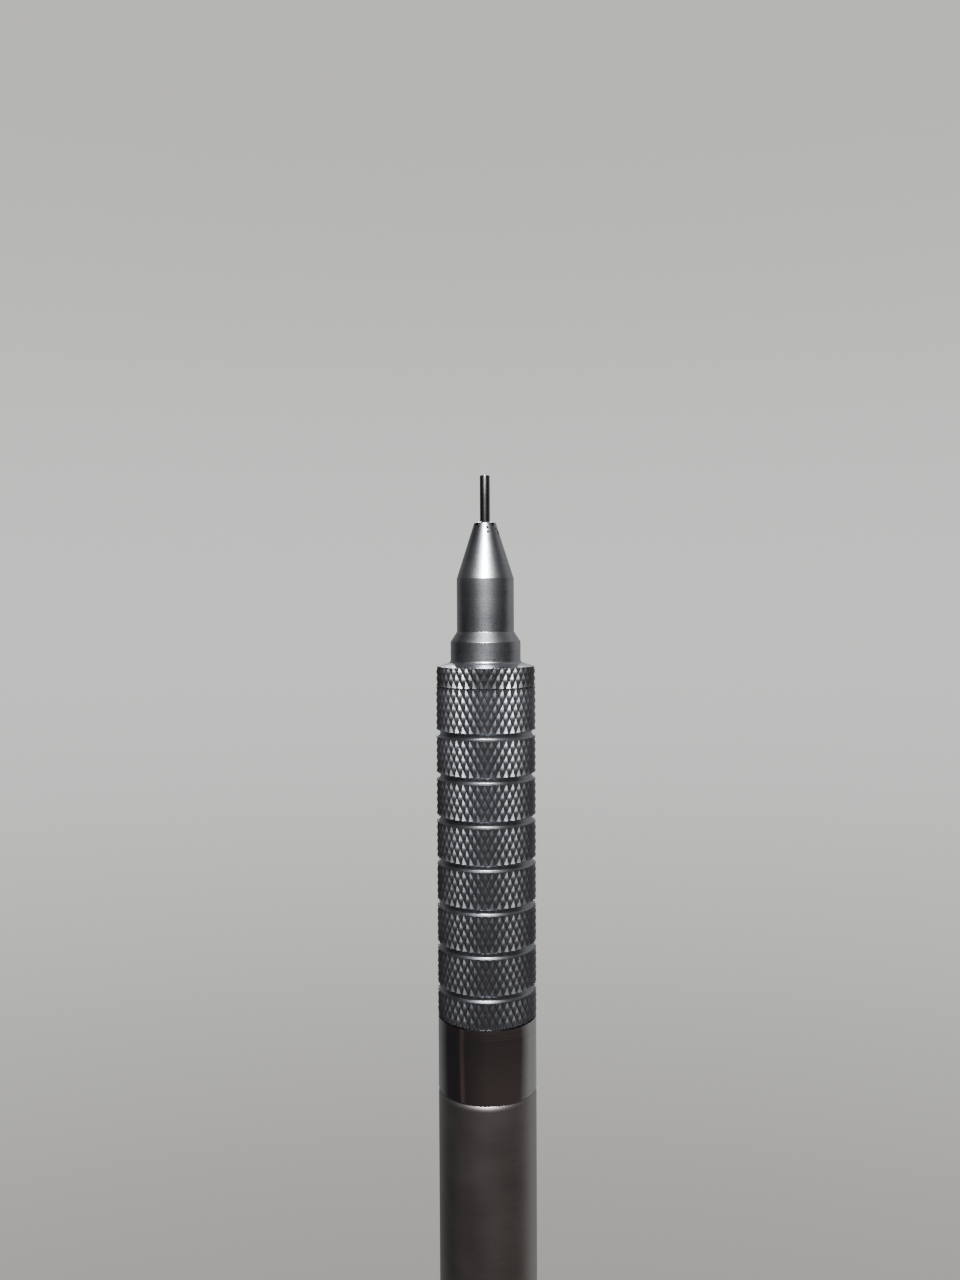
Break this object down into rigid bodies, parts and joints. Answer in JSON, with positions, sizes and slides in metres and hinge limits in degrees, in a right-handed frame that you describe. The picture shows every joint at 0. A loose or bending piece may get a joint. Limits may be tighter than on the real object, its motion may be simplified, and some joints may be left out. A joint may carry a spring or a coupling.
{
  "type": "lead holder",
  "caption": "Slim all-metal drafting lead holder with a thin fixed lead sleeve, turned nose, knurled grip, plain barrel, pocket clip and push cap.",
  "frame": {"origin": "on the axis, half way along the plain wall of the barrel ahead of the clip", "axes": "+Z along the axis towards the tip, +X through the pocket clip, +Y completes the right-handed frame"},
  "size_m": [0.0113, 0.0098, 0.143],
  "materials": {
    "nose_metal": "satin nickel plate, fine turning marks",
    "sleeve_steel": "polished stainless tube",
    "grip_metal": "knurled, satin nickel plate",
    "ferrule_chrome": "mirror polished, dark plating",
    "barrel_metal": "satin grey",
    "clip_steel": "satin spring steel",
    "brass": "turned",
    "spring_steel": "drawn wire",
    "tube_plastic": "moulded",
    "retainer_rubber": "matt",
    "graphite": "polymer graphite lead",
    "eraser_rubber": "matt white"
  },
  "bodies": {
    "barrel": {"grip_core": "brass", "grip_sleeve": "grip_metal", "ferrule": "ferrule_chrome", "barrel_tube": "barrel_metal", "rear_bush": "tube_plastic", "crown_ring": "nose_metal", "clip_band": "clip_steel", "chuck_bush": "brass", "return_spring": "spring_steel"},
    "nose_carrier": {"lead_sleeve": "sleeve_steel", "lead_retainer": "retainer_rubber"},
    "nose": {"nose_cone": "nose_metal"},
    "plunger": {"lead_tube": "tube_plastic", "chuck_body": "brass", "spring_seat": "brass", "spare_leads": "graphite", "eraser_holder": "nose_metal"},
    "jaw_1": {"chuck_jaw_1": "brass"},
    "jaw_2": {"chuck_jaw_2": "brass"},
    "jaw_3": {"chuck_jaw_3": "brass"},
    "clutch": {"clutch_ring": "brass"},
    "lead": {"working_lead": "graphite"},
    "cap": {"push_cap": "nose_metal"},
    "eraser": {"eraser": "eraser_rubber", "cleaning_pin": "spring_steel"},
    "clip": {"pocket_clip": "clip_steel"}
  },
  "joints": [
    {"name": "push", "type": "slide", "parent": "barrel", "child": "plunger", "axis": [0, 0, 1], "range_m": [0, 0.003], "stiffness_N_per_m": 900, "springref_m": -0.003, "deforming": ["return_spring"]},
    {"name": "jaw_1_open", "type": "hinge", "parent": "plunger", "child": "jaw_1", "pos_m": [0, 0.00062, 0.0468], "axis": [-1, 0, 0], "range_deg": [0, 1.5]},
    {"name": "jaw_2_open", "type": "hinge", "parent": "plunger", "child": "jaw_2", "pos_m": [-0.00054, -0.00031, 0.0468], "axis": [0.5, -0.866, 0], "range_deg": [0, 1.5]},
    {"name": "jaw_3_open", "type": "hinge", "parent": "plunger", "child": "jaw_3", "pos_m": [0.00054, -0.00031, 0.0468], "axis": [0.5, 0.866, 0], "range_deg": [0, 1.5]},
    {"name": "clutch_slide", "type": "slide", "parent": "barrel", "child": "clutch", "axis": [0, 0, 1], "range_m": [0, 0.0015]},
    {"name": "nose_lift", "type": "slide", "parent": "barrel", "child": "nose_carrier", "axis": [0, 0, 1], "range_m": [0, 0.0035]},
    {"name": "nose_turn", "type": "hinge", "parent": "nose_carrier", "child": "nose", "pos_m": [0, 0, 0.0501], "axis": [0, 0, 1], "range_deg": [0, 2520]},
    {"name": "lead_feed", "type": "slide", "parent": "barrel", "child": "lead", "axis": [0, 0, 1], "range_m": [0, 0.006]},
    {"name": "cap_pull", "type": "slide", "parent": "plunger", "child": "cap", "axis": [0, 0, -1], "range_m": [0, 0.016]},
    {"name": "eraser_pull", "type": "slide", "parent": "plunger", "child": "eraser", "axis": [0, 0, -1], "range_m": [0, 0.008]},
    {"name": "clip_flex", "type": "hinge", "parent": "barrel", "child": "clip", "pos_m": [0.00606, 0, -0.04296], "axis": [0, 1, 0], "range_deg": [0, 4], "stiffness_Nm_per_rad": 2.5, "springref_deg": -1.72}
  ],
  "couplings": [
    {"joint": "jaw_1_open", "follows": "push", "rad_per_m": 8.7258},
    {"joint": "jaw_2_open", "follows": "push", "rad_per_m": 8.7258},
    {"joint": "jaw_3_open", "follows": "push", "rad_per_m": 8.7258},
    {"joint": "clutch_slide", "follows": "push", "ratio": 0.5},
    {"joint": "nose_turn", "follows": "nose_lift", "rad_per_m": 12566},
    {"joint": "eraser_pull", "follows": "cap_pull", "ratio": 0.5}
  ]
}
